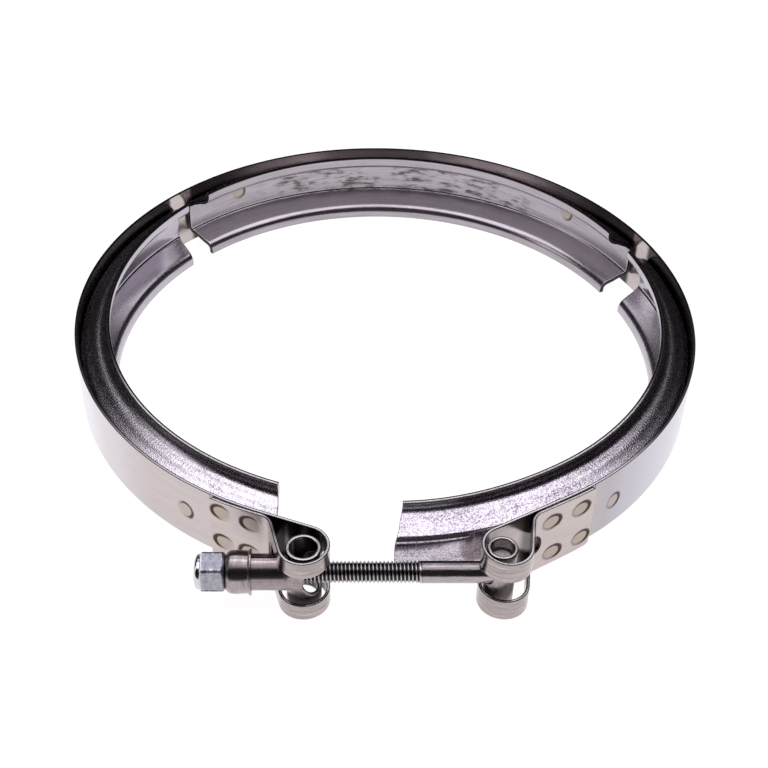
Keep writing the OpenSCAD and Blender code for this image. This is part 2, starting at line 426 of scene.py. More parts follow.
def steel(name, light, dark, rough=(0.2, 0.34), streak=(0.05, 2.2), speck=0.5, mottle=0.35, bump=0.12, welds=(), painted_shading=(),
          rim=None, wear=None, bore=None, painted_reflection_tint=None, end_face_highlight=None, least=0.12, soft=None, tab_end_shadow=None):
    """Sheet steel: long grain along the first coordinate, mottled patches and fine specks.
    The shading entries are (face or 0, ramp points (along, factor)...): painted light and shade that darken or lighten
    the sheet along its run."""
    m, nt, bs = mat_new(name)
    N = Nodes(nt)
    c = N.coord()
    s = N.sep(c)
    grain = N.noise(N.scale(c, (streak[0], streak[1], 0.3)), 1.0, 6.0, 0.7)
    patch = N.noise(N.scale(c, (0.12, 0.3, 0.3), (3.1, 1.7, 0.4)), 1.0, 3.0, 0.55, 0.4)
    fine = N.noise(N.scale(c, (1.6, 3.2, 1.0), (0.7, 5.3, 2.2)), 1.0, 2.0, 0.6)
    g = N.ramp(grain, 0.33, 0.68)
    p = N.ramp(patch, 0.35, 0.7)
    f = N.ramp(fine, 0.42, 0.66)
    fac = N.math("MULTIPLY", g, mottle)
    fac = N.math("ADD", fac, N.math("MULTIPLY", p, mottle * 0.6))
    fac = N.math("ADD", fac, N.math("MULTIPLY", f, speck * 0.3), clamp=True)
    col = N.mix(fac, light, dark)
    if wear:
        # rubbed zone: long dark and bright drag lines with small nicks
        lo, hi = wear
        zone = N.math("MULTIPLY", N.ramp(s[0], lo - 3, lo + 3), N.ramp(s[0], hi - 3, hi + 3, 1.0, 0.0))
        w1 = N.noise(N.scale(c, (0.09, 0.95, 0.0), (11.0, 3.0, 0)), 1.0, 5.0, 0.75, 0.25)
        w2 = N.noise(N.scale(c, (0.7, 2.1, 0.0), (5.0, 8.0, 0)), 1.0, 3.0, 0.7, 0.3)
        k = N.math("ADD", N.ramp(w1, 0.38, 0.70, 0.0, 0.5), N.ramp(w2, 0.52, 0.70, 0.0, 0.25))
        col = N.mix(N.math("MULTIPLY", k, zone), col, (0.16, 0.132, 0.135))
        hl = N.ramp(w1, 0.30, 0.42, 1.0, 0.0)
        col = N.mix(N.math("MULTIPLY", N.math("MULTIPLY", hl, zone), 0.9), col, (0.72, 0.66, 0.68))
    # painted reflection: the given face is tinted towards a lilac colour along its run
    if painted_reflection_tint:
        face, colour, pts = painted_reflection_tint
        on = N.math("GREATER_THAN" if face > 0 else "LESS_THAN", s[2], 0.0)
        col = N.mix(N.math("MULTIPLY", piecewise(N, s[0], pts), on), col, colour)
    # painted light and shade along the run
    for face, pts in painted_shading:
        k = piecewise(N, s[0], pts)
        if face:
            on = N.math("GREATER_THAN" if face > 0 else "LESS_THAN", s[2], 0.0)
            k = N.math("ADD", N.math("MULTIPLY", N.math("SUBTRACT", k, 1.0), on), 1.0)
        n = nt.nodes.new("ShaderNodeVectorMath")
        n.operation = "SCALE"
        nt.links.new(col, n.inputs[0])
        nt.links.new(k, n.inputs["Scale"])
        col = n.outputs[0]
    rg = N.ramp(fac, 0.0, 1.0, rough[0], rough[1])
    hgt = N.math("ADD", N.math("MULTIPLY", grain, 0.7), N.math("MULTIPLY", fine, 0.5))
    if welds:
        ring, inside = weld_marks(N, c, s, welds, least)
        col = N.mix(N.math("MULTIPLY", inside, 0.5), col, (0.42, 0.35, 0.25))
        col = N.mix(N.math("MULTIPLY", ring, 0.95), col, (0.048, 0.025, 0.017))
        rg = N.math("ADD", rg, N.math("MULTIPLY", N.math("MAXIMUM", inside, ring), 0.12))
        hgt = N.math("SUBTRACT", hgt, N.math("MULTIPLY", ring, 0.8))
    if tab_end_shadow is not None:
        # painted shadow: a dark line in the corner where the tab ends on the band
        q = N.math("DIVIDE", N.math("SUBTRACT", s[0], tab_end_shadow[0]), 0.24)
        q = N.math("POWER", 2.718, N.math("MULTIPLY", N.math("MULTIPLY", q, q), -1.0))
        q = N.math("MULTIPLY", q, N.math("LESS_THAN", s[2], 0.0))
        col = N.mix(N.math("MULTIPLY", q, tab_end_shadow[1]), col, (0.06, 0.045, 0.04))
    # painted highlight down the sheet's rims, between dark edge lines
    if rim is not None:
        col = rim_painted_light(N, c, s, col, *rim)
    # painted shade: the points marked 0 inside a bore take the dark bore colour
    if bore is not None:
        col = N.mix(N.ramp(s[2], 0.3, 0.7, 1.0, 0.0), col, bore)
    if end_face_highlight is not None:
        # painted highlight on the turned end faces, broken up by small burrs
        nick = N.noise(N.scale(c, (3.0, 3.0, 0.0), (1.0, 6.0, 0)), 1.0, 2.0, 0.7)
        col = N.mix(N.math("MULTIPLY", N.ramp(s[2], 1.3, 1.7), N.ramp(nick, 0.36, 0.56, 0.35, 1.0)), col, end_face_highlight)
    if soft is not None:
        rg = N.math("ADD", rg, N.ramp(s[0], soft - 2.5, soft + 1.5, 0.0, 0.17))
    nt.links.new(col, bs.inputs["Base Color"])
    nt.links.new(rg, bs.inputs["Roughness"])
    bs.inputs["Metallic"].default_value = 1.0
    nt.links.new(N.bump(hgt, bump, 0.00012), bs.inputs["Normal"])
    return m


# ---------------------------------------------------------------- the strap
def strap_plan(side):
    cx, cy = LOOP_X[side], -BOLT_Y
    rho = BAND_MID + LOOP_MID
    uc = math.sqrt(cx * cx + cy * cy - rho * rho)
    la = math.degrees(math.atan2(cy, cx)) + 360 - side * math.degrees(math.atan2(uc, rho))
    lc = np.array([uc, rho])
    ca, sa = math.cos(rad(STRAND_A)), math.sin(rad(STRAND_A))
    reach = (LOOP_MID + FOLD_R) * np.array([ca, sa])
    sl = (TAB_MID + FOLD_R - lc[1] - reach[1]) / ca
    fc = lc + reach + sl * np.array([-sa, ca])
    return la, uc, lc, sl, fc


def strap_half(side, seam_deg, weld_deg):
    """Samples (point, side normal, run length, kind) from the rear seam to the tab's cut end."""
    la, uc, lc, sl, fc = strap_plan(side)
    U = []

    def add(u, n, nu, nn, s, kind):
        U.append((u, n, nu, nn, s, kind))

    # ring arc, from the seam to where the strap leaves the ring
    span = abs(la - (seam_deg + (360 if side < 0 else 0)))
    total = span * D2R * BAND_MID
    weld_s = abs(weld_deg - (seam_deg + (360 if side < 0 else 0))) * D2R * BAND_MID
    s, marks = 0.0, [0.0]
    while s < total - 1e-6:
        near = abs(s - weld_s) < 4.6 or abs(s + 1.0 - weld_s) < 4.6
        s = min(total, s + (0.35 if near else 1.7))
        marks.append(s)
    for s in marks:
        a = rad(90) + (total - s) / BAND_MID
        add(BAND_MID * math.cos(a), BAND_MID * math.sin(a), -math.cos(a), -math.sin(a), s, 0)
    s0 = total
    for k in range(1, int(uc / 0.8) + 1):
        u = uc * k / int(uc / 0.8)
        add(u, BAND_MID, 0, -1, s0 + u, 1)
    s0 += uc
    n = 76
    sweep = rad(STRAND_A + 90)
    for k in range(1, n + 1):
        a = rad(-90) + sweep * k / n
        add(lc[0] + LOOP_MID * math.cos(a), lc[1] + LOOP_MID * math.sin(a), math.cos(a), math.sin(a), s0 + LOOP_MID * sweep * k / n, 2)
    s0 += LOOP_MID * sweep
    ca, sa = math.cos(rad(STRAND_A)), math.sin(rad(STRAND_A))
    n = 18
    for k in range(1, n + 1):
        q = sl * k / n
        add(lc[0] + LOOP_MID * ca - sa * q, lc[1] + LOOP_MID * sa + ca * q, ca, sa, s0 + q, 3)
    s0 += sl
    n = 18
    a0, a1 = rad(STRAND_A - 180), rad(-90)
    for k in range(1, n + 1):
        a = a0 + (a1 - a0) * k / n
        add(fc[0] + FOLD_R * math.cos(a), fc[1] + FOLD_R * math.sin(a), -math.cos(a), -math.sin(a), s0 + FOLD_R * abs(a1 - a0) * k / n, 4)
    s0 += FOLD_R * abs(a1 - a0)
    tab_s = s0
    m = max(2, int(fc[0] / 0.35))
    for k in range(1, m + 1):
        q = fc[0] * k / m
        add(fc[0] - q, TAB_MID, 0, 1, s0 + q, 5)
    s0 += fc[0]
    end = abs(la - TAB_END[side]) * D2R
    ln = end * TAB_MID
    m = int(ln / 0.35)
    fr = np.linspace(0, 1, m + 1)[1:]
    fr = np.concatenate([fr[:-1], [1 - 0.28 / ln, 1 - 0.12 / ln, 1 - 0.04 / ln, 1.0]])
    for q in np.unique(fr):
        a = rad(90) + end * q
        add(TAB_MID * math.cos(a), TAB_MID * math.sin(a), math.cos(a), math.sin(a), s0 + ln * q, 6)
    s_end = s0 + ln
    A = np.array([[x[0], x[1], x[2], x[3], x[4], x[5]] for x in U])
    lar = rad(la)
    eu = np.array([-math.sin(lar), math.cos(lar)]) * side
    en = np.array([math.cos(lar), math.sin(lar)])
    P = A[:, :1] * eu + A[:, 1:2] * en
    Nv = A[:, 2:3] * eu + A[:, 3:4] * en
    loop_start = total + uc
    info = dict(la=la, uc=uc, total=total, loop_start=loop_start, tab_s=tab_s, s_end=s_end, weld_s=weld_s, fc=fc, eu=eu, en=en, sl=sl)
    return P, Nv, A[:, 4], A[:, 5], info


RING_WELD_Z = {1: -0.25, -1: -1.0}
TAB_LEVEL = {1: (0.0, -0.4, -1.0, -1.7), -1: (-0.3, -0.3, -1.8, -1.1)}


def inner_only(pts, stop):
    """The same ramp, back to no change beyond the given run."""
    return [p for p in pts if p[0] < stop - 1] + [(stop, 1.0)]


def build_strap(side, seam_deg, weld_deg, name, body, tab_welds):
    P, Nv, S, kind, info = strap_half(side, seam_deg, weld_deg)
    H = BAND_W / 2
    n = len(S)
    # the slot along the run: its start on the loop, its end at the fold or on the tab
    sA = info["loop_start"] + LOOP_MID * rad(25)
    if side > 0:
        sB = info["tab_s"] - FOLD_R * math.asin(0.6)
    else:
        sB = info["tab_s"] + 0.8
    hs = SLOT[side]
    # extra samples where the slot's round ends need them
    want = []
    for e, sg in ((sA, 1), (sB, -1)):
        for t in (0.0, 0.03, 0.12, 0.28, 0.5, 0.8, 1.15, 1.6, 2.1, 2.7, 3.3, 3.8):
            want.append(e + sg * t)
    S2 = np.unique(np.round(np.concatenate([S, want]), 5))
    keep = np.concatenate([[True], np.diff(S2) > 0.012])
    S2 = S2[keep]
    for e in (sA, sB):  # the end samples stay exact
        S2[np.argmin(np.abs(S2 - e))] = e
    Px = np.stack([np.interp(S2, S, P[:, k]) for k in range(2)], 1)
    Nx = np.stack([np.interp(S2, S, Nv[:, k]) for k in range(2)], 1)
    Nx /= np.linalg.norm(Nx, axis=1)[:, None]
    S = S2
    n = len(S)
    re = min(hs, 3.8)
    d = np.clip(np.minimum(S - sA, sB - S), 0, re)
    inside = (S >= sA - 1e-6) & (S <= sB + 1e-6)
    rise = np.where(inside, hs * (1 - (1 - d / re) ** 2.4) ** (1 / 2.4), 0)
    # sheet half width, rounded at the tab's corners
    q = np.clip(info["s_end"] - S, 0, 1.1)
    half = H - (1.1 - np.sqrt(np.clip(1.1 ** 2 - (1.1 - q) ** 2, 0, None)))
    half[S < info["tab_s"]] = H
    # the bent end sits a little low, and its tab is not quite level
    w = np.clip((S - info["loop_start"]) / (info["tab_s"] - info["loop_start"]), 0, 1)
    q = np.clip((S - info["tab_s"]) / (info["s_end"] - info["tab_s"]), 0, 1)
    late = np.clip((w - 0.55) / 0.45, 0, 1)
    late = late * late * (3 - 2 * late)
    z0 = -1.0 * w ** 1.2
    t0, t1, b0, b1 = TAB_LEVEL[side]
    ztop = z0 + late * (t0 + 1.0) + q * (t1 - t0)
    zbot = z0 + late * (b0 + 1.0) + q * (b1 - b0)
    zs = z0 - np.where(side < 0, 0.9, 0.0) * np.clip((S - (info["tab_s"] - 6)) / 6, 0, 1) * (rise > -1)
    rows = 22
    parts = []
    f = np.linspace(0, 1, rows)
    f = f ** 0.9
    for up in (1, -1):
        zin = zs + up * rise
        zin = np.where(rise > 0, zin, z0)
        zout = (ztop if up > 0 else zbot) + up * half
        Z = zin[None] + (zout - zin)[None] * f[:, None]
        X = np.repeat(Px[None, :, 0], rows, 0)
        Y = np.repeat(Px[None, :, 1], rows, 0)
        parts.append((np.stack([X, Y, Z], -1)))
    grid = np.concatenate([parts[1][::-1], parts[0]], 0)  # bottom to top; the two middle rows meet outside the slot
    NN = np.zeros_like(grid)
    NN[..., 0], NN[..., 1] = Nx[None, :, 0], Nx[None, :, 1]
    across = grid[..., 2] - z0[None]
    SS = np.repeat(S[None], grid.shape[0], 0)
    # weld dents, pressed into the outer faces
    dent = np.zeros(SS.shape)
    welds = []
    for off, zz in tab_welds:
        welds.append((info["tab_s"] + off, zz, 2.75, 2.4, 1, 1.0))
    welds.append((info["weld_s"], RING_WELD_Z[side], 2.3, 2.5, -1, side * 1.0))
    for wa, wb, ra, rb, sg, _ in welds:
        rr = np.hypot((SS - wa) / ra, (across - wb) / rb)
        dish = np.clip((1.12 - rr) / 0.22, 0, 1)
        dish = dish * dish * (3 - 2 * dish)
        lip = np.exp(-((rr - 1.0) / 0.1) ** 2)
        dent += -sg * (0.10 * dish + 0.05 * lip - 0.03 * np.exp(-((rr - 1.2) / 0.1) ** 2))
    # light hand of the press along the sheet
    grid = grid + NN * dent[..., None]
    crd = np.stack([SS, across, np.ones(SS.shape)], -1)
    R = grid.shape[0]
    V, F, K, idx = [], [], [], None
    lowV, lowF, lowK, li = shell("", grid[:rows], NN[:rows], BAND_T, crd[:rows])
    upV, upF, upK, ui = shell("", grid[rows:], NN[rows:], BAND_T, crd[rows:])
    # leave out the rim along the middle where there is no slot
    V = np.concatenate([lowV, upV])
    K = np.concatenate([lowK, upK])
    off = len(lowV)
    F = lowF + [[a + off for a in q] for q in upF]
    closed = ~(rise > 0)
    half_n = rows * n
    mid_low = set()
    colmap = {}
    for c in range(n):
        if closed[c]:
            a_low, a_up = (rows - 1) * n + c, off + c
            colmap[a_up] = a_low
            colmap[a_up + half_n] = a_low + half_n
    F2 = []
    for q in F:
        F2.append([colmap.get(a, a) for a in q])
    # drop rim quads that now lie inside the sheet: pairs with the same corners
    seen = {}
    for j, q in enumerate(F2):
        k = tuple(sorted(set(q)))
        seen.setdefault(k, []).append(j)
    drop = set()
    for k, js in seen.items():
        if len(js) > 1 or len(k) < 3:
            drop.update(js)
    F2 = [q for j, q in enumerate(F2) if j not in drop]
    used = np.unique(np.concatenate([np.array(q) for q in F2]))
    remap = -np.ones(len(V), int)
    remap[used] = np.arange(len(used))
    F2 = [[int(remap[a]) for a in dict.fromkeys(q)] for q in F2]
    F2 = [q for q in F2 if len(q) > 2]
    ob = make(name, V[used], F2, K[used])
    # round the sheet's cut edges, but not the butt joint at the rear
    import bmesh
    bm = bmesh.new()
    bm.from_mesh(ob.data)
    bmesh.ops.recalc_face_normals(bm, faces=bm.faces)
    lay = bm.edges.layers.float.new("bevel_weight_edge")
    seam_p = Vector((Px[0, 0] * MM, Px[0, 1] * MM))
    for e in bm.edges:
        if len(e.link_faces) == 2 and e.calc_face_angle(0) > 0.9:
            near = all((Vector((v.co.x, v.co.y)) - seam_p).length < 0.0012 for v in e.verts)
            if not near:
                e[lay] = 1.0
            elif abs(e.verts[0].co.z - e.verts[1].co.z) < 1e-7 and (e.verts[0].co - e.verts[1].co).length > 0.0009:
                e[lay] = 1.0
    bm.to_mesh(ob.data)
    bm.free()
    bv = ob.modifiers.new("edge", "BEVEL")
    bv.limit_method = "WEIGHT"
    bv.width = 0.2 * MM
    bv.segments = 3
    bv.use_clamp_overlap = True
    bake_modifiers(ob, 40)
    la_s, lo_s, tb_s = info["total"], info["loop_start"], info["tab_s"]
    gap_s = abs(SPLIT[side] - seam_deg) * D2R * BAND_MID
    # painted shade and light on the band's inner face: dark behind the segments, bright at the gap between them
    seam_painted_shade = [(0, 0.17), (12, 0.16), (30, 0.2), (42, 0.5)] if side > 0 else [(0, 0.18), (6, 0.32), (20, 0.55), (38, 0.7)]
    inner = seam_painted_shade + [(56, 0.34), (74, 0.1), (gap_s - 5.5, 0.1), (gap_s - 3.4, 1.0),
             (gap_s + (3.8 if side > 0 else 2.6), 1.0), (gap_s + (5.4 if side > 0 else 5.0), 0.07), (gap_s + 60, 0.2), (la_s - 20, 0.6), (la_s - 5, 0.9), (lo_s, 0.8), (tb_s, 0.8)]
    # the face towards the ring's centre is face +1 here, as far as the loop. The run list below is painted light and
    # shade along the whole strap, brightest on the tab.
    body = [(lo_s - 12, 1.22), (lo_s + 2, 1.0), (tb_s - 12, 1.0), (tb_s - 9, 1.06), (tb_s - 1, 1.28)]
    u0 = la_s + info["fc"][0]
    # painted shade inside the loop, with a thin painted highlight streak in the left one; a painted reflection tints
    # the outer face lilac on the far runs; the rims carry their painted highlight only along the listed runs; a
    # painted shadow line runs where the tab ends on the band
    if side > 0:
        loop_painted_shade = [(u0 - 3, 1.0), (u0, 0.07), (u0 + 6.3, 0.06), (u0 + 7.2, 0.3), (u0 + 8.1, 0.06), (lo_s, 0.1), (lo_s + 8, 0.25), (tb_s - 5, 0.4), (tb_s, 1.0)]
        painted_reflection_tint = [(gap_s, 0.9), (198, 0.85), (216, 0.4), (238, 0.06)]
        rim_highlight_run = [(205, 0.0), (la_s - 18, 0.75), (la_s, 1.0), (tb_s - 12, 1.0), (tb_s - 7, 0.12), (tb_s - 2.5, 0.3), (tb_s, 1.0)]
    else:
        loop_painted_shade = [(u0 - 3, 1.0), (u0, 0.2), (u0 + 4, 0.35), (u0 + 7, 1.0), (lo_s, 0.85), (tb_s - 5, 0.7), (tb_s, 1.0)]
        painted_reflection_tint = [(gap_s, 0.9), (192, 0.9), (208, 0.75), (220, 0.35), (230, 0.0)]
        body = [(110, 1.22), (160, 1.12), (190, 0.92), (214, 0.84), (224, 0.95), (lo_s - 14, 1.1), (lo_s + 2, 1.0), (tb_s - 12, 1.0), (tb_s - 9, 1.06), (tb_s - 1, 1.28)]
        rim_highlight_run = [(190, 0.0), (la_s - 14, 0.75), (la_s, 1.0), (tb_s - 9, 0.9), (tb_s - 6, 0.45), (tb_s - 1, 0.8), (tb_s, 1.0)]
    m = steel("strap_" + ("left" if side > 0 else "right"), (0.47, 0.415, 0.41), (0.30, 0.262, 0.262),
              rough=(0.19, 0.30), streak=(0.03, 1.1), speck=0.2, mottle=0.17, bump=0.05, least=0.14 if side > 0 else 0.4, soft=tb_s - 9,
              welds=welds, painted_shading=((0, body), (1, inner_only(inner, lo_s)), (-1, loop_painted_shade)), rim=(0.42, rim_highlight_run), wear=(lo_s + 2, tb_s - 6),
              painted_reflection_tint=(-1, (0.62, 0.605, 0.70), painted_reflection_tint), tab_end_shadow=(la_s - abs(info["la"] - TAB_END[side]) * D2R * BAND_MID - 0.12, 0.45 if side > 0 else 0.75))
    ob.data.materials.append(m)
    return ob, info, welds[-1]


SEAM = 81.0
TAB_WELDS = {1: ((2.75, 7.0), (11.5, 7.25), (3.5, -4.0), (11.2, -3.8)),
             -1: ((3.55, 5.8), (13.2, 5.8), (5.0, -6.5), (14.6, -6.05))}
straps = {}
for side, nm, arm, wd in ((1, "strap_left", "left_arm", 234.2), (-1, "strap_right", "right_arm", 310.4)):
    ob, info, ring_weld = build_strap(side, SEAM, wd, nm, arm, TAB_WELDS[side])
    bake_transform(ob)
    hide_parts("band_left" if side > 0 else "band_right")
    if side > 0:
        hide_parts("band_rear")
    straps[side] = (ob, info, ring_weld)


# ---------------------------------------------------------------- V segments
def seg_profile():
    """Mid-surface (r, z), side normal towards the band, and length along the profile, from top lip to bottom lip."""
    inner = [(LIP_R, LIP_Z), (LIP_R, BEND_Z), (SEG_OUT - SEG_T, FLOOR_Z)]
    leg = np.array(inner[2]) - np.array(inner[1])
    leg /= np.linalg.norm(leg)
    ln = np.array([-leg[1], leg[0]])
    rl, rb = LIP_R + SEG_T / 2, SEG_OUT - SEG_T / 2
    p0 = np.array(inner[1]) + ln * SEG_T / 2

    def leg_z(r):
        return p0[1] + (r - p0[0]) * leg[1] / leg[0]
    A = np.array([rl, leg_z(rl)])
    B = np.array([rb, leg_z(rb)])
    pts = [np.array([rl, LIP_Z]), A, B, np.array([rb, -B[1]]), np.array([rl, -A[1]]), np.array([rl, -LIP_Z])]
    rm = [0, 2.8, 1.9, 1.9, 2.7, 0]
    out = []
    for i, p in enumerate(pts):
        if rm[i] == 0:
            out.append(p)
            continue
        a = pts[i - 1] - p
        b = pts[i + 1] - p
        a /= np.linalg.norm(a)
        b /= np.linalg.norm(b)
        ang = math.acos(float(a @ b))
        dd = rm[i] / math.tan(ang / 2)
        h = (a + b) / np.linalg.norm(a + b)
        c = p + h * rm[i] / math.sin(ang / 2)
        s, e = p + a * dd - c, p + b * dd - c
        t0 = math.atan2(s[1], s[0])
        dt = math.atan2(s[0] * e[1] - s[1] * e[0], float(s @ e))
        for k in range(11):
            t = t0 + dt * k / 10
            out.append(c + rm[i] * np.array([math.cos(t), math.sin(t)]))
    out = np.array(out)
    # even points along the straight runs
    s = np.concatenate([[0], np.cumsum(np.linalg.norm(np.diff(out, axis=0), axis=1))])
    fill = [0.0]
    for i in range(len(out) - 1):
        L = s[i + 1] - s[i]
        k = max(1, int(round(L / 0.45)))
        fill += [s[i] + L * j / k for j in range(1, k + 1)]
    S = np.array(fill)
    Q = np.stack([np.interp(S, s, out[:, 0]), np.interp(S, s, out[:, 1])], 1)
    # a shallow rolled bead runs along the upper leg, next to the lip's bend
    off = Q[:, 0] - 87.0
    Q[:, 1] += np.where(Q[:, 1] > 0, 0.15 * np.sin(2 * math.pi * off / 4.4) * np.exp(-(off / 2.0) ** 2), 0) * np.clip((Q[:, 0] - rl - 0.05) / 0.9, 0, 1)
    T = np.gradient(Q, S, axis=0)
    T /= np.linalg.norm(T, axis=1)[:, None]
    Nn = np.stack([-T[:, 1], T[:, 0]], 1)
    if Nn[len(Nn) // 2, 0] < 0:
        Nn = -Nn
    return Q, Nn, S


def build_segment(name, mid, body, node, light, dark, seed, mottle, speck, welds, lip_drop=0.0, grain=0.36, scuff=0.15,
                  rim_highlight_run=((-100, 0.0), (100, 0.0)), reach=0.0):
    Q, Nn, S = seg_profile()
    a = 55.5
    tilt = math.atan2(2.6, SEG_OUT - LIP_R)
    cols = 200
    m = len(Q)
    P = np.zeros((m, cols, 3))
    N3 = np.zeros((m, cols, 3))
    C = np.zeros((m, cols, 3))
    smid = S - S[-1] / 2
    # the ends are set back towards the lips, with a small relief at each bend, all in one smooth cut
    raw = (SEG_OUT - Q[:, 0]) * math.tan(tilt) + 0.6 * np.exp(-((np.abs(Q[:, 1]) - 6.2) / 1.1) ** 2)
    wts = np.exp(-((S[:, None] - S[None]) / 1.5) ** 2)
    backs = (wts * raw[None]).sum(1) / wts.sum(1)
    for i, (r, z) in enumerate(Q):
        half = rad(a) - backs[i] / r
        th = np.linspace(-half, half, cols)
        w = np.linspace(-1, 1, cols)
        far = half + reach * (0.35 + 1.0 * (r - LIP_R) / (SEG_OUT - LIP_R)) / r
        th = np.where(w > 0, w * far, w * half)
        g = rad(mid) + th
        P[i] = np.stack([r * np.cos(g), r * np.sin(g), np.full(cols, z)], 1)
        N3[i] = np.stack([Nn[i, 0] * np.cos(g), Nn[i, 0] * np.sin(g), np.full(cols, Nn[i, 1])], 1)
        C[i] = np.stack([th * 90, np.full(cols, smid[i]), np.full(cols, 1.0)], 1)
    if lip_drop:
        # the top leg of this end is bent a little lower
        w = np.clip((np.radians(np.full(cols, 0.0))[None] + np.repeat(np.linspace(a, -a, cols)[None], m, 0) - 24) / 31, 0, 1)
        w = w * w * (3 - 2 * w)
        zf = np.clip((Q[:, 1] - 5.0) / 7.2, 0, 1)[:, None]
        P[..., 2] -= lip_drop * w * zf
    # weld dents from the inside of the base
    rr0 = np.zeros((m, cols))
    for wa, wb in welds:
        rr = np.hypot((C[..., 0] - wa) / 2.3, (C[..., 1] - wb) / 2.3)
        dsh = np.clip((1.1 - rr) / 0.25, 0, 1)
        rr0 += 0.12 * dsh * dsh * (3 - 2 * dsh)
    P = P + N3 * rr0[..., None]
    V, F, K, _ = shell(name, P, N3, SEG_T, C)
    bead = float(smid[: m // 2][np.argmin(np.abs(Q[: m // 2, 0] - 87.0))])
    ob = make(name, V, F, K)
    import bmesh
    bm = bmesh.new()
    bm.from_mesh(ob.data)
    bmesh.ops.recalc_face_normals(bm, faces=bm.faces)
    lay = bm.edges.layers.float.new("bevel_weight_edge")
    for e in bm.edges:
        if len(e.link_faces) == 2 and e.calc_face_angle(0) > 0.9:
            e[lay] = 1.0
    bm.to_mesh(ob.data)
    bm.free()
    bv = ob.modifiers.new("edge", "BEVEL")
    bv.limit_method = "WEIGHT"
    bv.width = 0.2 * MM
    bv.segments = 3
    bake_modifiers(ob, 40)
    mt = segment_steel(name + "_steel", light, dark, seed, mottle, speck, welds, grain, scuff, bead, rim_highlight_run)
    ob.data.materials.append(mt)
    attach(ob, body)
    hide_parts(node)
    return ob


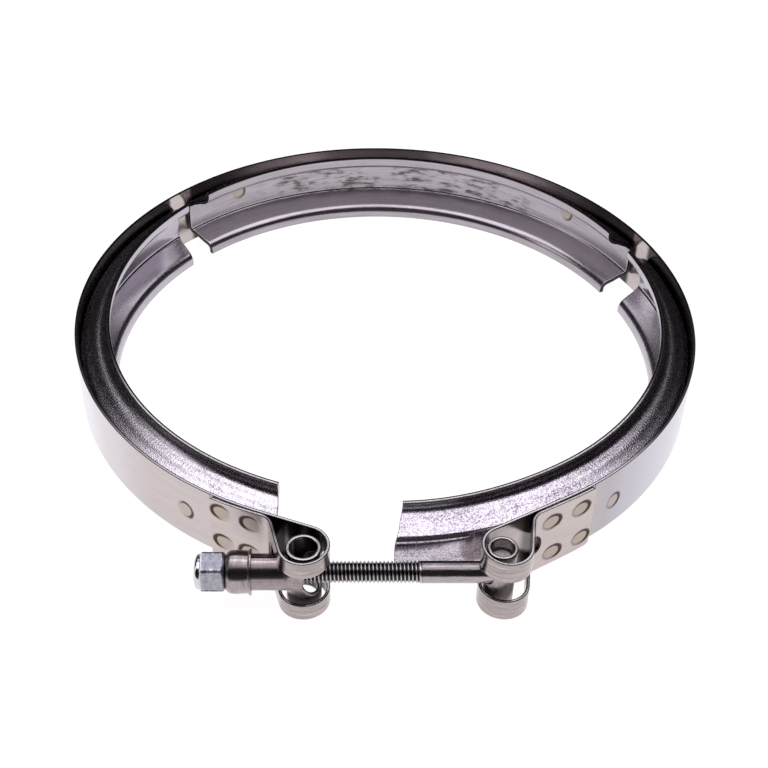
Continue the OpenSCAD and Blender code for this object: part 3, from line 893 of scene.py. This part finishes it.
def segment_steel(name, light, dark, seed, mottle, speck, welds, grain, scuff, bead, rim_highlight_run):
    """Rolled channel: drag marks along its length, crystalline specks on the legs, grey scuffs on the floor, painted
    light on the rims, and painted shade on the lips' outer faces and inside the side channels' groove.
    """
    side_segment = 0.0 if seed < 5 else 1.0
    m, nt, bs = mat_new(name)
    N = Nodes(nt)
    c = N.coord()
    s = N.sep(c)
    drag = N.noise(N.scale(c, (0.035, 1.3, 0.0), (seed, seed * 1.7, 0)), 1.0, 5.0, 0.65, 0.15)
    drag2 = N.noise(N.scale(c, (0.10, 3.4, 0.0), (seed * 2.3, 4.0, 0)), 1.0, 3.0, 0.6)
    grit = N.noise(N.scale(c, (2.7, 3.5, 0.0), (seed, 9.0, 0)), 1.0, 2.0, 0.85, 0.0)
    patch = N.noise(N.scale(c, (0.08, 0.22, 0.0), (seed * 0.7, 2.0, 0)), 1.0, 3.0, 0.6, 0.6)
    legs = N.ramp(N.math("ABSOLUTE", s[1]), 5.6, 7.4)
    d = N.ramp(drag, 0.38, 0.66)
    d2 = N.ramp(drag2, 0.4, 0.65)
    crys = N.cells(N.scale(c, (3.3, 3.9, 0.0), (seed * 1.9, 3.0, 0)))
    g = N.ramp(N.math("ADD", N.math("MULTIPLY", grit, 0.62), N.math("MULTIPLY", crys, 0.38)), 0.44, 0.60)
    p = N.ramp(patch, 0.40, 0.68)
    fac = N.math("MULTIPLY", N.math("ADD", N.math("MULTIPLY", d, 0.6), N.math("MULTIPLY", d2, 0.4)), mottle)
    outer = N.math("GREATER_THAN", s[2], 0.0)
    gk = N.math("MULTIPLY", N.math("MULTIPLY", g, speck), N.ramp(p, 0.0, 1.0, 0.75, 1.0))
    fac = N.math("ADD", fac, N.math("MULTIPLY", gk, N.math("ADD", 0.25, N.math("MULTIPLY", outer, 0.75))))
    fac = N.math("ADD", fac, N.math("MULTIPLY", p, 0.15), clamp=True)
    col = N.mix(fac, light, dark)
    # painted shade: on the side channels the inside of the groove takes a darker copy of the colour
    col = N.mix(N.math("MULTIPLY", N.math("SUBTRACT", 1.0, outer), side_segment), col, N.mix(fac, (0.52, 0.48, 0.54), (0.29, 0.262, 0.315)))
    # painted shade: the lips' outer faces are painted dark
    lip_painted_shade = N.math("MULTIPLY", N.ramp(N.math("ABSOLUTE", s[1]), 12.6, 13.6), outer)
    col = N.mix(N.math("MULTIPLY", lip_painted_shade, 0.6), col, (0.12, 0.10, 0.12))
    # scuffs and dull spots on the groove's floor
    sc = N.noise(N.scale(c, (0.17, 0.62, 0.0), (seed * 3.1, 1.0, 0)), 1.0, 4.0, 0.62, 0.0)
    cl = N.noise(N.scale(c, (0.09, 0.16, 0.0), (seed * 2.2, 7.0, 0)), 1.0, 2.0, 0.5, 0.0)
    scf = N.math("MULTIPLY", N.ramp(sc, 0.43, 0.64), N.math("SUBTRACT", 1.0, legs))
    scf = N.math("MULTIPLY", scf, N.ramp(cl, 0.38, 0.54))
    scf = N.math("MULTIPLY", scf, N.math("MULTIPLY", N.ramp(s[0], -48.0, -32.0), N.ramp(s[0], 44.0, 64.0, 1.0, 0.0)))
    col = N.mix(N.math("MULTIPLY", scf, scuff, clamp=True), col, (0.125, 0.117, 0.123))
    # painted highlight down the channel's rims, between dark edge lines
    col = rim_painted_light(N, c, s, col, 0.22, rim_highlight_run)
    rg = N.ramp(fac, 0.0, 1.0, 0.15 if side_segment else 0.20, 0.26 if side_segment else 0.30)
    rg = N.math("ADD", rg, N.math("MULTIPLY", N.math("MULTIPLY", crys, legs), 0.10 * side_segment))
    rg = N.math("ADD", rg, N.math("MULTIPLY", scf, 0.15))
    if welds:
        ring = fill = None
        for wa, wb in welds:
            dx = N.math("DIVIDE", N.math("SUBTRACT", s[0], wa), 2.3)
            dy = N.math("DIVIDE", N.math("SUBTRACT", s[1], wb), 2.3)
            dd = N.math("SQRT", N.math("ADD", N.math("MULTIPLY", dx, dx), N.math("MULTIPLY", dy, dy)))
            sd = N.ramp(dx, -1.0, 1.0, 1.0, 0.1)
            ln = N.math("MULTIPLY", N.math("MULTIPLY", N.ramp(dd, 0.68, 0.92), N.ramp(dd, 1.04, 1.3, 1.0, 0.0)), sd)
            fl = N.ramp(dd, 0.8, 1.0, 1.0, 0.0)
            ring = ln if ring is None else N.math("MAXIMUM", ring, ln)
            fill = fl if fill is None else N.math("MAXIMUM", fill, fl)
        top = N.math("LESS_THAN", s[2], 0.0)
        col = N.mix(N.math("MULTIPLY", N.math("MULTIPLY", fill, top), 0.6), col, (0.36, 0.30, 0.21))
        col = N.mix(N.math("MULTIPLY", N.math("MULTIPLY", ring, top), 0.85), col, (0.05, 0.035, 0.02))
    nt.links.new(col, bs.inputs["Base Color"])
    nt.links.new(rg, bs.inputs["Roughness"])
    bs.inputs["Metallic"].default_value = 1.0
    # crystalline grain where the sheet was stretched: strongest on the legs
    cell = N.noise(N.scale(c, (2.4, 2.9, 0.0), (seed * 1.3, 6.0, 0)), 1.0, 1.5, 0.7, 0.0)
    lit = N.math("MULTIPLY", N.math("ADD", 0.10, N.math("MULTIPLY", legs, grain)), N.ramp(outer, 0.0, 1.0, 0.15, 1.0))
    hgt = N.math("ADD", N.math("MULTIPLY", drag2, 0.05), N.math("MULTIPLY", cell, lit))
    # chatter marks across the rolled bead
    near = N.math("DIVIDE", N.math("SUBTRACT", s[1], bead), 1.5)
    near = N.math("POWER", 2.718, N.math("MULTIPLY", N.math("MULTIPLY", near, near), -1.0))
    wave = N.math("SINE", N.math("ADD", N.math("MULTIPLY", s[0], 5.6), N.math("ADD", N.math("MULTIPLY", patch, 9.0), N.math("MULTIPLY", grit, 5.0))))
    chat = N.math("MULTIPLY", N.math("MULTIPLY", wave, near), N.math("MULTIPLY", outer, 0.035))
    nt.links.new(N.bump(N.math("ADD", hgt, chat), 1.0, 0.00014), bs.inputs["Normal"])
    return m


# the side channels take a far lighter copy of the rear channel's steel: painted light
build_segment("channel_rear", 81.0, "rear_ring", "v_segment_rear", (0.45, 0.415, 0.455), (0.27, 0.245, 0.28), 3.3, 0.5, 0.25,
              ((-56.2, -2.0), (66.4, -2.25)), scuff=1.1)
build_segment("channel_left", 194.9, "left_arm", "v_segment_left", (0.78, 0.73, 0.81), (0.17, 0.15, 0.185), 7.9, 0.18, 0.45,
              ((62.0, 0.0),), rim_highlight_run=((4, 0.0), (30, 1.0)), reach=1.5)
build_segment("channel_right", 325.6, "right_arm", "v_segment_right", (0.74, 0.685, 0.775), (0.15, 0.13, 0.165), 12.4, 0.24, 0.62,
              ((-26.0, 0.0),), lip_drop=1.3, rim_highlight_run=((-8, 1.0), (18, 0.0)))


# ---------------------------------------------------------------- trunnion
def crd_of(V, x0):
    """Material coordinates of a piece about the bolt line: along X, round it, and 1."""
    y, z = V[:, 1] + BOLT_Y, V[:, 2]
    return np.stack([np.arctan2(z, y) * 4.7, V[:, 0] - x0, np.ones(len(V))], 1)


def f_trunnion(x, y, z):
    X, Y = x - TR_X, y + BOLT_Y
    bar = cyl(np.hypot(X, Y), (4.55, BARREL_H), 0, z, 0.42)
    rs = np.hypot(Y, z)
    stem = cyl(rs, (STEM_R, (STEM_L + 3.6) / 2), 0, X + (STEM_L - 3.6) / 2, 0.25)
    o = smin(bar, stem, 1.6)
    bore = np.hypot(X, Y) - 3.5
    sb = rs - STEM_BORE
    saddle = np.hypot(X - 4.9, z) - 5.1
    seam = np.maximum(np.maximum(np.abs(Y - 0.9) - 0.17, np.abs(X + 10.0) - 4.2), 3.6 - z)
    o = smax(o, -bore, 0.45)
    o = smax(o, -sb, 0.3)
    o = smax(o, -saddle, 0.55)
    o = smax(o, -seam, 0.15)
    return o


# painted highlight and shade in bands along the length of the stem and the cup: (run round the bolt line, factor)
ROUND_PAINTED_SHADING = [(1.5, 1.0), (3.2, 0.45), (6.7, 0.45), (7.3, 1.9), (8.0, 1.7), (8.8, 0.7), (9.6, 0.42), (10.6, 0.32), (12.0, 0.5), (13.0, 1.0)]
V, F = nets(f_trunnion, (TR_X - STEM_L - 0.3, -BOLT_Y - 5.2, -9.8), (TR_X + 5.0, -BOLT_Y + 5.2, 9.8), 0.16)
K = crd_of(V, TR_X)
# the barrel's points are moved past the painted bands
K[V[:, 0] > TR_X - 5.0, 0] += 60.0
# mark the bore's inside for its painted shade
K[(np.hypot(V[:, 0] - TR_X, V[:, 1] + BOLT_Y) < 3.95) & (np.abs(V[:, 2]) < BARREL_H - 0.5), 2] = 0.0
# mark the end faces for their painted highlight
K[np.abs(V[:, 2]) > BARREL_H - 0.12, 2] = 2.0
tr = make("trunnion_body", V, F, K, 50)
# painted highlight and shade bands round the stem, painted shade in the bore, painted highlight on the end faces
tr.data.materials.append(steel("trunnion_steel", (0.40, 0.35, 0.36), (0.25, 0.215, 0.225), rough=(0.23, 0.34),
                               streak=(1.5, 0.05), speck=0.5, mottle=0.6, bump=0.12, painted_shading=((0, ROUND_PAINTED_SHADING),),
                               bore=(0.055, 0.047, 0.05), end_face_highlight=(0.62, 0.575, 0.60)))
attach(tr, "sleeve")
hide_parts("trunnion")


# ---------------------------------------------------------------- T-bolt
def thread_mesh(x0, x1, major, minor, pitch, per=14, n=72):
    """Rolled thread with flat-rounded crests, chamfered at its free end and run out at the other."""
    rows = int((x1 - x0) / pitch * per) + 1
    xs = np.linspace(x0, x1, rows)
    th = np.arange(n) * 2 * math.pi / n
    X = np.repeat(xs[:, None], n, 1)
    ph = (X / pitch - th[None] / (2 * math.pi)) % 1.0
    tri = 1 - np.abs(ph * 2 - 1)
    prof = np.clip((tri - 0.08) / 0.78, 0, 1)
    prof = prof * 0.75 + 0.25 * prof * prof * (3 - 2 * prof)
    fade = np.clip((x1 - X) / 1.4, 0, 1)
    depth = (major - minor) * fade
    R = major - depth * (1 - prof)
    ch = 2.25 + np.clip(X - x0, 0, 1) * 0.95
    R = np.minimum(R, ch)
    V = np.stack([X, -BOLT_Y + R * np.cos(th)[None], R * np.sin(th)[None]], -1)
    K = np.stack([np.repeat((th * 2.9)[None], rows, 0), X, prof], -1)
    return V, K, xs


def grid_faces(R, n, off=0):
    F = []
    for j in range(R - 1):
        for k in range(n):
            k2 = (k + 1) % n
            F.append([off + j * n + k, off + j * n + k2, off + (j + 1) * n + k2, off + (j + 1) * n + k])
    return F


n = 72
TV, TK, xs = thread_mesh(END_X + 0.3, SHANK_X, 2.93, 2.3, 1.0)
th = np.arange(n) * 2 * math.pi / n
end_x = TB_X + 1.4
prof = [(SHANK_X + 0.15, 2.9), (SHANK_X + 0.6, 2.88)]
prof += [(SHANK_X + 0.6 + (end_x - 1.1 - SHANK_X - 0.6) * k / 26, 2.88) for k in range(1, 27)]
prof += [(end_x - 1.1 + 1.1 * math.sin(rad(a)), 1.78 + 1.1 * math.cos(rad(a))) for a in (15, 30, 45, 60, 75, 90)]
prof += [(end_x + 0.02, 1.0), (end_x + 0.03, 0.3)]
PV = np.array([[[x, -BOLT_Y + r * math.cos(t), r * math.sin(t)] for t in th] for x, r in prof])
PK = np.array([[[t * 2.9, x, 2.0] for t in th] for x, r in prof])
GV = np.concatenate([TV, PV], 0)
GK = np.concatenate([TK, PK], 0)
R = len(GV)
F = grid_faces(R, n)
V = GV.reshape(-1, 3)
K = GK.reshape(-1, 3)
V = np.concatenate([V, [[END_X + 0.3, -BOLT_Y, 0], [end_x + 0.03, -BOLT_Y, 0]]])
K = np.concatenate([K, [[0, END_X, 1], [0, end_x, 2]]])
c0, c1 = len(V) - 2, len(V) - 1
for k in range(n):
    F.append([c0, (k + 1) % n, k])
    F.append([c1, (R - 1) * n + k, (R - 1) * n + (k + 1) % n])
stud = make("t_bolt_stud", V, F, K, 60)


def bolt_steel(name="stud_steel", head_painted_light=False):
    m, nt, bs = mat_new(name)
    N = Nodes(nt)
    c = N.coord()
    s = N.sep(c)
    g = N.noise(N.scale(c, (2.2, 0.25, 0.0)), 1.0, 5.0, 0.7)
    sp = N.noise(N.scale(c, (3.0, 3.0, 0.0), (2, 1, 0)), 1.0, 2.0, 0.7)
    f = N.math("ADD", N.math("MULTIPLY", N.ramp(g, 0.35, 0.68), 0.7), N.math("MULTIPLY", N.ramp(sp, 0.5, 0.7), 0.4), clamp=True)
    shank = N.mix(f, (0.47, 0.425, 0.44), (0.30, 0.265, 0.28))
    # painted light: the head, down in the barrel's shade, takes a much lighter colour
    if head_painted_light:
        shank = N.mix(f, (0.80, 0.76, 0.77), (0.30, 0.27, 0.28))
    else:
        # painted highlight and shade in bands along its length, round the shank
        k = piecewise(N, s[0], [(1.3, 1.0), (2.0, 0.28), (3.8, 0.3), (4.3, 1.0), (4.9, 1.0), (5.6, 0.5), (6.2, 0.4), (7.4, 0.6), (8.2, 1.0)])
        shank = N.mix(k, (0.0, 0.0, 0.0), shank)
    # painted shade: the thread's roots are painted nearly black
    root = N.ramp(s[2], 0.05, 0.75)
    thr = N.mix(root, (0.045, 0.04, 0.045), (0.52, 0.50, 0.52))
    is_shank = N.ramp(s[2], 1.3, 1.7)
    col = N.mix(is_shank, thr, shank)
    nt.links.new(col, bs.inputs["Base Color"])
    nt.links.new(N.ramp(f, 0, 1, 0.5 if head_painted_light else 0.17, 0.65 if head_painted_light else 0.3), bs.inputs["Roughness"])
    bs.inputs["Metallic"].default_value = 1.0
    nt.links.new(N.bump(N.math("ADD", g, sp), 0.5 if head_painted_light else 0.12, 0.0001), bs.inputs["Normal"])
    return m


stud.data.materials.append(bolt_steel())
# the bolt's head, seen down inside its barrel
head = rounded_loop([(-5.9, 0.0), (-5.9, 2.96, 0.9), (5.9, 2.96, 0.9), (5.9, 0.0)], 6)
head = np.concatenate([[[-5.9, 0.02]], head[1:-1], [[5.9, 0.02]]])
HV, HF, HK = lathe(head, 64, axis_y=0.0)
HV = np.stack([TB_X + HV[:, 2], -BOLT_Y + HV[:, 1], HV[:, 0]], 1)
hd = make("t_bolt_head", HV, HF, np.stack([HV[:, 0] * 3, HV[:, 1] * 3, np.full(len(HV), 2.0)], 1), 50)
hd.data.materials.append(bolt_steel("head_steel", True))
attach(hd, "bolt")
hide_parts("t_bolt")
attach(stud, "bolt")
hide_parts("t_bolt")


def f_tbarrel(x, y, z):
    X, Y = x - TB_X, y + BOLT_Y
    bar = cyl(np.hypot(X, Y), (3.95, BARREL_H), 0, z, 0.4)
    bore = np.hypot(X, Y) - 3.0
    hole = np.maximum(np.hypot(Y, z) - 3.12, X - 1.4)
    o = smax(bar, -bore, 0.4)
    return smax(o, -hole, 0.35)


V, F = nets(f_tbarrel, (TB_X - 4.2, -BOLT_Y - 4.2, -9.7), (TB_X + 4.2, -BOLT_Y + 4.2, 9.7), 0.16)
K = np.stack([np.arctan2(V[:, 1] + BOLT_Y, V[:, 0] - TB_X) * 3.6, V[:, 2], np.ones(len(V))], 1)
# mark the end faces for their painted highlight
K[np.abs(V[:, 2]) > BARREL_H - 0.12, 2] = 2.0
tb = make("t_bolt_cross_barrel", V, F, K, 50)
# barrel steel, with a painted highlight on its end faces
tb.data.materials.append(steel("barrel_steel", (0.42, 0.38, 0.385), (0.26, 0.23, 0.235), rough=(0.2, 0.34),
                               streak=(1.2, 0.1), speck=0.6, mottle=0.6, bump=0.14, end_face_highlight=(0.56, 0.52, 0.53)))
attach(tb, "bolt")
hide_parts("t_bolt_barrel")


# ---------------------------------------------------------------- cup washer
x = CUP_X
cup = rounded_loop([(x, 3.2, 0.15), (x, CUP_R - 0.25, 1.9), (x + 3.0, CUP_R - 0.01, 1.2), (x + CUP_L - 1.3, CUP_R - 0.2, 0.8), (x + CUP_L - 0.72, CUP_R - 0.1, 0.4),
                    (x + CUP_L - 0.42, CUP_RIM - 0.02, 0.14), (x + CUP_L, CUP_RIM, 0.14), (x + CUP_L, STEM_R + 0.1, 0.12), (x + 1.4, STEM_R + 0.1, 0.9), (x + 1.4, 3.2, 0.2)], 10, 0.86)
V, F, K = lathe(cup, 120)
cu = make("cup_washer_body", V, F, K, 50)
# the same painted highlight and shade bands round the cup
cu.data.materials.append(steel("cup_steel", (0.46, 0.40, 0.42), (0.22, 0.18, 0.195), rough=(0.24, 0.32),
                               streak=(0.25, 0.5), speck=0.4, mottle=0.6, bump=0.1, painted_shading=((0, ROUND_PAINTED_SHADING),)))
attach(cu, "washer")
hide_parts("cup_washer")


# ---------------------------------------------------------------- nut
def nut_mesh():
    """Hexagon with rounded corners and cone chamfers, running into a rolled collar."""
    n = 240
    turn = rad(41)
    th = np.arange(n) * 2 * math.pi / n
    # angle in the (y, z) plane; corners face the same way as on the solid
    cor = math.atan2(-math.cos(turn), math.sin(turn))
    rel = (th - cor + math.pi / 6) % (math.pi / 3) - math.pi / 6
    flat = 5.0 / np.cos(math.pi / 6 - np.abs(rel))
    hexr = np.minimum(flat, 5.74 - 0.9 * 0)
    soft = 0.12
    hexr = -np.logaddexp(-hexr / soft, -5.66 / soft) * soft
    hexr = np.minimum(hexr, flat)
    x1 = NUT_X
    x0 = NUT_X - NUT_L
    xs = []
    lim = []
    for k in range(15):
        t = k / 14
        xs.append(x1 - t * 0.95)
        lim.append(4.55 + 1.35 * t)
    for k in range(1, 6):
        xs.append(x1 - 0.95 - (NUT_L - 1.9) * k / 6)
        lim.append(9.0)
    for k in range(15):
        t = 1 - k / 14
        xs.append(x0 + t * 0.95)
        lim.append(4.72 + 1.1 * math.sin(math.pi / 2 * t))
    xs, lim = np.array(xs), np.array(lim)
    order = np.argsort(-xs)
    xs, lim = xs[order], lim[order]
    Rr = np.minimum(hexr[None], lim[:, None])
    rings = [(xs[i], Rr[i]) for i in range(len(xs))]
    one = np.ones(n)
    pre = [(x1, one * 3.0), (x1 - 0.25, one * 3.0)][::-1]
    pre = [(x1 - 0.35, one * 2.99), (x1 - 0.02, one * 3.25), (x1, one * 3.4), (x1, one * 4.5)]
    col = [(x0 - 0.0, 4.62), (x0 - 0.12, 4.58), (x0 - 0.5, 4.55), (x0 - 0.85, 4.42), (x0 - 1.1, 4.22), (x0 - 1.3, 3.95), (x0 - 1.42, 3.7),
           (x0 - 1.48, 3.45), (x0 - 1.44, 3.25), (x0 - 1.3, 3.12), (x0 - 1.05, 3.06), (x0 - 0.9, 3.02)]
    post = [(a, one * b) for a, b in col]
    inner = [(x0 + 1.5, one * 3.0), (x0 + 4.0, one * 3.0)]
    seq = pre + rings + post + inner
    V = np.array([[[x, -BOLT_Y + r * math.cos(t), r * math.sin(t)] for t, r in zip(th, rr)] for x, rr in seq])
    edge = 1 - np.abs(rel) / (math.pi / 6)
    K = np.array([[[t * 5, x - x0, e if rr.max() > 5.2 else 0.0] for t, e in zip(th, edge)] for x, rr in seq])
    m = len(seq)
    F = []
    for j in range(m):
        j2 = (j + 1) % m
        for k in range(n):
            k2 = (k + 1) % n
            F.append([j * n + k, j * n + k2, j2 * n + k2, j2 * n + k])
    return V.reshape(-1, 3), F, K.reshape(-1, 3)


V, F, K = nut_mesh()
nut = make("lock_nut_body", V, F, K, 28)


def zinc():
    m, nt, bs = mat_new("zinc_plate")
    N = Nodes(nt)
    c = N.coord()
    a = N.noise(N.scale(c, (0.9, 0.9, 0.0)), 1.0, 5.0, 0.7, 0.3)
    b = N.noise(N.scale(c, (4.0, 4.0, 0.0)), 1.0, 3.0, 0.7)
    f = N.math("ADD", N.math("MULTIPLY", N.ramp(a, 0.35, 0.7), 0.6), N.math("MULTIPLY", N.ramp(b, 0.4, 0.65), 0.5), clamp=True)
    s = N.sep(c)
    rim = N.ramp(s[1], -0.1, 0.9, 1.0, 0.0)
    col = N.mix(f, (0.41, 0.415, 0.50), (0.25, 0.25, 0.30))
    # painted light: the face turned to the front is painted brighter
    front_face_painted_light = N.math("MULTIPLY", N.ramp(s[0], 11.3, 11.6), N.ramp(s[0], 16.6, 16.9, 1.0, 0.0))
    col = N.mix(front_face_painted_light, col, N.mix(f, (0.58, 0.575, 0.64), (0.36, 0.355, 0.40)))
    # corners: a dark line that fades in places, with painted highlights beside it
    cn = N.noise(N.scale(c, (0.2, 1.1, 0.0), (3.0, 2.0, 0)), 1.0, 3.0, 0.7)
    line = N.ramp(s[2], 0.86, 0.92)
    col = N.mix(N.math("MULTIPLY", line, N.ramp(cn, 0.42, 0.54, 0.95, 0.35)), col, (0.045, 0.045, 0.055))
    corner_painted_highlight = N.math("MULTIPLY", N.ramp(s[2], 0.72, 0.80), N.ramp(s[2], 0.86, 0.90, 1.0, 0.0))
    col = N.mix(N.math("MULTIPLY", corner_painted_highlight, N.ramp(cn, 0.48, 0.58, 0.0, 0.8)), col, (0.82, 0.82, 0.88))
    col = N.mix(rim, col, (0.66, 0.65, 0.68))
    nt.links.new(col, bs.inputs["Base Color"])
    rg = N.math("MULTIPLY", N.ramp(f, 0, 1, 0.38, 0.56), N.ramp(rim, 0.0, 1.0, 1.0, 0.2))
    nt.links.new(rg, bs.inputs["Roughness"])
    bs.inputs["Metallic"].default_value = 1.0
    nt.links.new(N.bump(N.math("ADD", a, b), 0.16, 0.0001), bs.inputs["Normal"])
    return m


nut.data.materials.append(zinc())
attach(nut, "nut")
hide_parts("lock_nut")

# locking ring inside the collar
x0 = NUT_X - NUT_L
ring = rounded_loop([(x0 - 1.05, 2.98, 0.1), (x0 - 1.05, 3.75, 0.2), (x0 + 0.25, 3.9, 0.2), (x0 + 0.25, 2.98, 0.1)], 5)
V, F, K = lathe(ring, 72)
ny = make("nut_locking_ring", V, F, K, 50)


def nylon():
    m, nt, bs = mat_new("nylon")
    N = Nodes(nt)
    c = N.coord()
    a = N.noise(N.scale(c, (1.2, 1.2, 0.0)), 1.0, 4.0, 0.6)
    col = N.mix(N.ramp(a, 0.35, 0.7), (0.72, 0.70, 0.64), (0.58, 0.56, 0.50))
    nt.links.new(col, bs.inputs["Base Color"])
    nt.links.new(N.ramp(a, 0.3, 0.7, 0.4, 0.6), bs.inputs["Roughness"])
    nt.links.new(N.bump(a, 0.1, 0.0001), bs.inputs["Normal"])
    return m


ny.data.materials.append(nylon())
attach(ny, "nut")
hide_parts("nut_insert")


# ---------------------------------------------------------------- studio
FLOOR_Z_M = -0.0122


def floor_material():
    m = bpy.data.materials.new("sweep")
    m.use_nodes = True
    nt = m.node_tree
    nt.nodes.clear()
    out = nt.nodes.new("ShaderNodeOutputMaterial")
    bs = nt.nodes.new("ShaderNodeBsdfPrincipled")
    nt.links.new(bs.outputs[0], out.inputs[0])
    N = Nodes(nt)
    tc = nt.nodes.new("ShaderNodeTexCoord")
    s = N.sep(tc.outputs["Object"])
    r = N.math("SQRT", N.math("ADD", N.math("MULTIPLY", s[0], s[0]), N.math("MULTIPLY", s[1], s[1])))
    e = N.ramp(r, 0.15, 1.1, 0.97, 1.02)
    bs.inputs["Base Color"].default_value = (0.16, 0.16, 0.16, 1)
    bs.inputs["Roughness"].default_value = 0.9
    bs.inputs["Specular IOR Level"].default_value = 0.0
    bs.inputs["Emission Color"].default_value = (1.0, 0.985, 0.985, 1)
    nt.links.new(e, bs.inputs["Emission Strength"])
    return m


me = bpy.data.meshes.new("sweep_floor")
k = 64
vs = [(0, 0, FLOOR_Z_M)]
fs = []
for ringr in (0.5, 6.0):
    for i in range(k):
        a = 2 * math.pi * i / k
        vs.append((ringr * math.cos(a), ringr * math.sin(a), FLOOR_Z_M))
for i in range(k):
    j = (i + 1) % k
    fs.append((0, 1 + i, 1 + j))
    fs.append((1 + i, 1 + k + i, 1 + k + j, 1 + j))
me.from_pydata(vs, [], fs)
floor = bpy.data.objects.new("sweep_floor", me)
bpy.context.scene.collection.objects.link(floor)
me.materials.append(floor_material())


def area(name, loc, target, sx, sy, radiance, col=(1, 1, 1)):
    L = bpy.data.lights.new(name, "AREA")
    L.shape = "RECTANGLE"
    L.size, L.size_y = sx, sy
    L.energy = radiance * math.pi * sx * sy
    L.color = col
    o = bpy.data.objects.new(name, L)
    bpy.context.scene.collection.objects.link(o)
    o.location = loc
    d = Vector(target) - Vector(loc)
    o.rotation_mode = "QUATERNION"
    o.rotation_quaternion = d.to_track_quat("-Z", "Y")
    return o


area("overhead", (0, -0.04, 0.52), (0, -0.04, 0), 1.05, 0.46, 1.9, (1.0, 0.975, 1.0))
area("back_strip", (0, 0.455, 0.52), (0, 0.455, 0), 0.9, 0.25, 1.15, (1.0, 0.98, 1.0))
area("left_card", (-0.62, -0.12, 0.26), (0, -0.1, 0), 0.22, 0.34, 1.2, (1.0, 0.99, 1.0))
area("front_fill", (0, -1.0, 0.62), (0, 0, 0), 1.2, 0.9, 0.035, (1.0, 0.96, 0.98))

w = bpy.data.worlds.new("studio")
bpy.context.scene.world = w
w.use_nodes = True
nt = w.node_tree
nt.nodes.clear()
wo = nt.nodes.new("ShaderNodeOutputWorld")
bg = nt.nodes.new("ShaderNodeBackground")
bg.inputs["Strength"].default_value = 1.0
lp = nt.nodes.new("ShaderNodeLightPath")
N = Nodes(nt)
nt.links.new(N.mix(lp.outputs["Is Camera Ray"], (0.018, 0.016, 0.018), (1.0, 1.0, 1.0)), bg.inputs["Color"])
nt.links.new(bg.outputs[0], wo.inputs[0])

cam_d = bpy.data.cameras.new("camera")
cam = bpy.data.objects.new("camera", cam_d)
bpy.context.scene.collection.objects.link(cam)
cam_d.sensor_width = 36
cam_d.lens = 62.665
cam_d.clip_start, cam_d.clip_end = 0.01, 50
cam.location = (-0.01313, -0.32691, 0.25980)
aim = Vector((-0.000878, -0.02446, 0.0)) - cam.location
q = aim.to_track_quat("-Z", "Y")
cam.rotation_mode = "QUATERNION"
cam.rotation_quaternion = (q.to_matrix() @ Matrix.Rotation(rad(1.8), 3, "Z")).to_quaternion()
bpy.context.scene.camera = cam
bpy.context.scene.view_settings.view_transform = "Standard"
